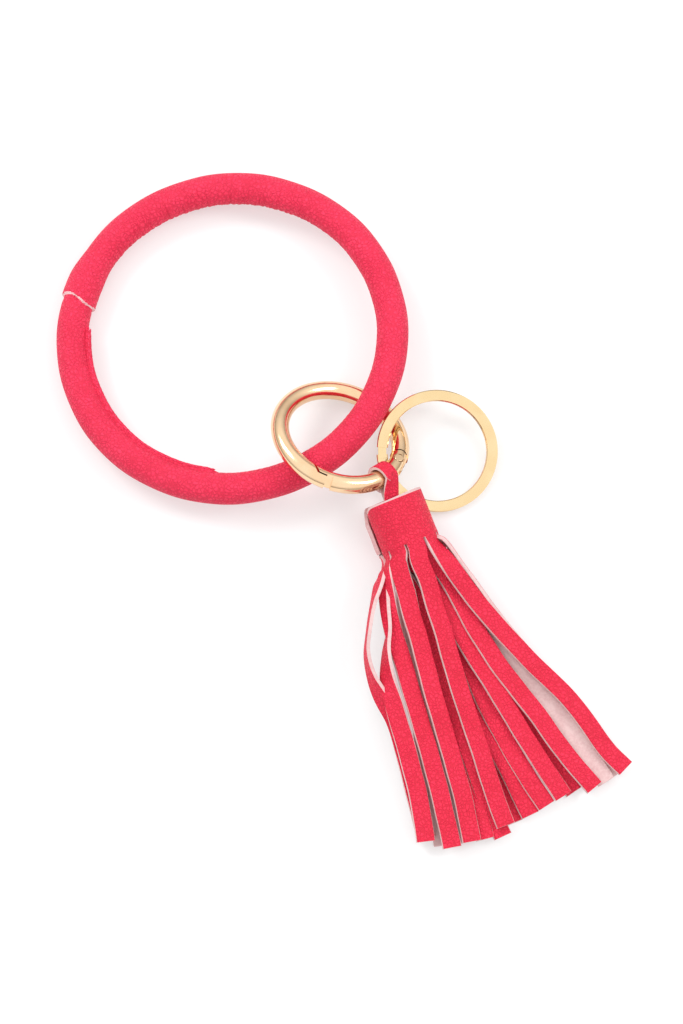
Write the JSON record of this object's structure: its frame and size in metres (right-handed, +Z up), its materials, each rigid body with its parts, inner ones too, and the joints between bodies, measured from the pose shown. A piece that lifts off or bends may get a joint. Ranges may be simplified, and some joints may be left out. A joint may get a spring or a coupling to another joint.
{
  "type": "wristlet keychain",
  "caption": "Leather covered wrist hoop with a spring gate clip linked round it, a split key ring and a cut leather tassel hung on the clip.",
  "frame": {"origin": "on the table under the middle of the wrist hoop", "axes": "+Z up from the table the set lies on, +Y from the tassel towards the hoop, +X towards the key ring's side"},
  "size_m": [0.1505, 0.1846, 0.02],
  "materials": {
    "pink_leather": "pebbled grain, semi matt",
    "strip_leather": "grain side pink, back and cut edges pale",
    "clip_metal": "polished pale gold plating",
    "key_ring_metal": "polished pale gold plating",
    "spring_steel": "drawn wire",
    "core_plastic": "extruded tube",
    "thread": "twisted thread"
  },
  "bodies": {
    "hoop": {"core_hoop": "core_plastic", "core_joiner": "core_plastic", "bangle_cover": "pink_leather", "seam_thread": "thread"},
    "clip": {"clip_body": "clip_metal", "gate_spring": "spring_steel"},
    "gate": {"clip_gate": "clip_metal", "gate_pin": "clip_metal"},
    "key_ring": {"key_ring": "key_ring_metal"},
    "tassel": {"tassel_loop": "strip_leather", "tassel_head": "strip_leather", "strip_01": "strip_leather", "strip_02": "strip_leather", "strip_03": "strip_leather", "strip_04": "strip_leather", "strip_05": "strip_leather", "strip_06": "strip_leather", "strip_07": "strip_leather", "strip_08": "strip_leather", "strip_09": "strip_leather", "strip_10": "strip_leather", "strip_11": "strip_leather", "strip_12": "strip_leather", "strip_13": "strip_leather", "strip_14": "strip_leather", "strip_15": "strip_leather", "strip_16": "strip_leather", "strip_17": "strip_leather", "strip_18": "strip_leather"}
  },
  "joints": [
    {"name": "clip_swing", "type": "hinge", "parent": "hoop", "child": "clip", "pos_m": [0.02919, -0.02725, 0.00958], "axis": [0.6814, 0.7316, 0.0219], "range_deg": [-90, 90]},
    {"name": "gate_open", "type": "hinge", "parent": "clip", "child": "gate", "pos_m": [0.04319, -0.03564, 0.00882], "axis": [-0.2557, -0.3937, -0.8829], "range_deg": [0, 9.5], "stiffness_Nm_per_rad": 0.02, "springref_deg": -14.32},
    {"name": "key_ring_turn", "type": "hinge", "parent": "clip", "child": "key_ring", "pos_m": [0.05385, -0.031, 0.00493], "axis": [0.1294, -0.2241, 0.9659], "continuous": true},
    {"name": "tassel_swing", "type": "hinge", "parent": "gate", "child": "tassel", "pos_m": [0.03966, -0.04043, 0.01197], "axis": [-0.6816, -0.5743, 0.4535], "range_deg": [0, 75]}
  ]
}
